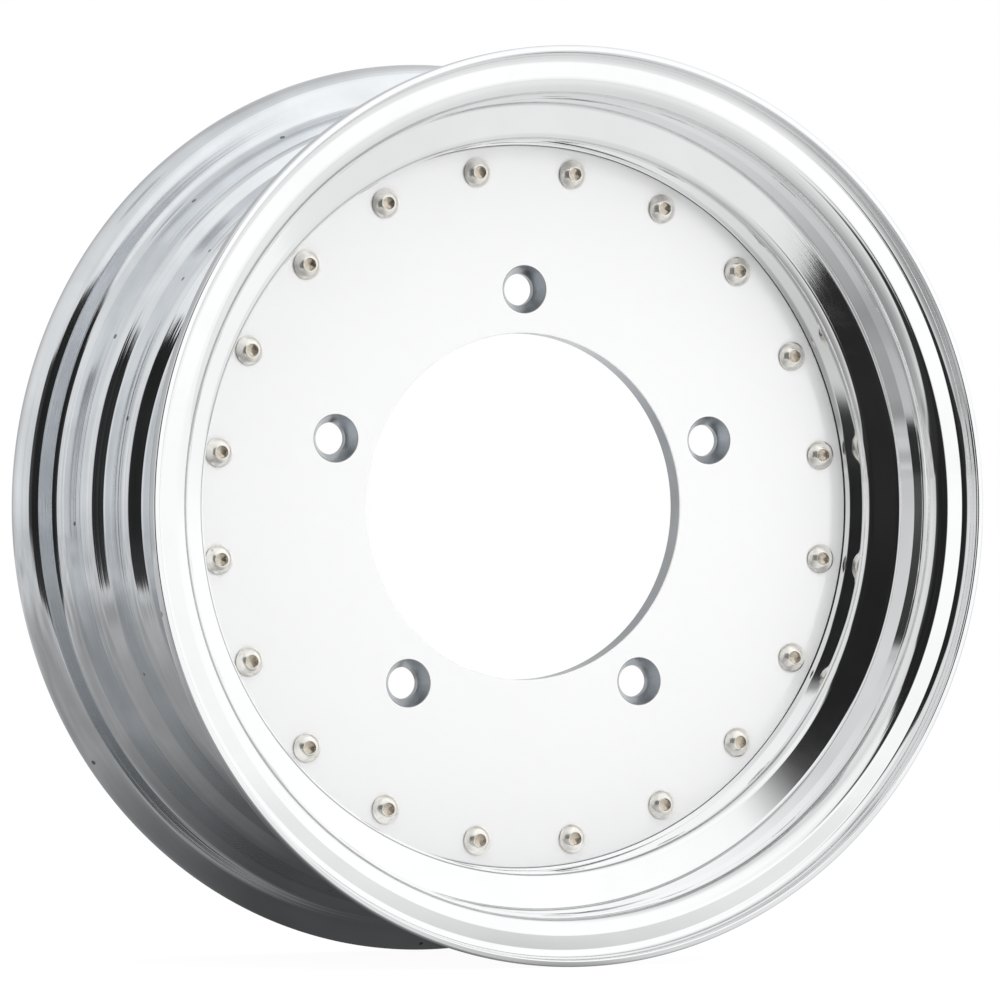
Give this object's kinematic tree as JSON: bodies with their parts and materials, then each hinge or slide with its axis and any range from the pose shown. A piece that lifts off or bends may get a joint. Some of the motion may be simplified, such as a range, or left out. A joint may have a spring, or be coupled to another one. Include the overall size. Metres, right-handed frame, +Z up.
{
  "type": "aluminium wheel",
  "caption": "Polished spun aluminium car wheel: two stepped rim halves with rolled lips, clamped by a ring of screws behind a flat disc with a large hub bore and conical bolt seats.",
  "frame": {"origin": "middle of the rim's width on the spin axis", "axes": "+Y along the spin axis, from the outer face towards the car; -Y is the outer face; +Z up, towards one wheel bolt hole"},
  "size_m": [0.4288, 0.174, 0.4288],
  "materials": {
    "disc_aluminium": "polished plate",
    "rim_aluminium": "mirror polished",
    "screw_steel": "bright nickel plated",
    "nut_steel": "zinc plated",
    "sealant": "cured silicone"
  },
  "bodies": {
    "root": {"center_disc": "disc_aluminium", "outer_rim_half": "rim_aluminium", "inner_rim_half": "rim_aluminium"}
  },
  "joints": []
}
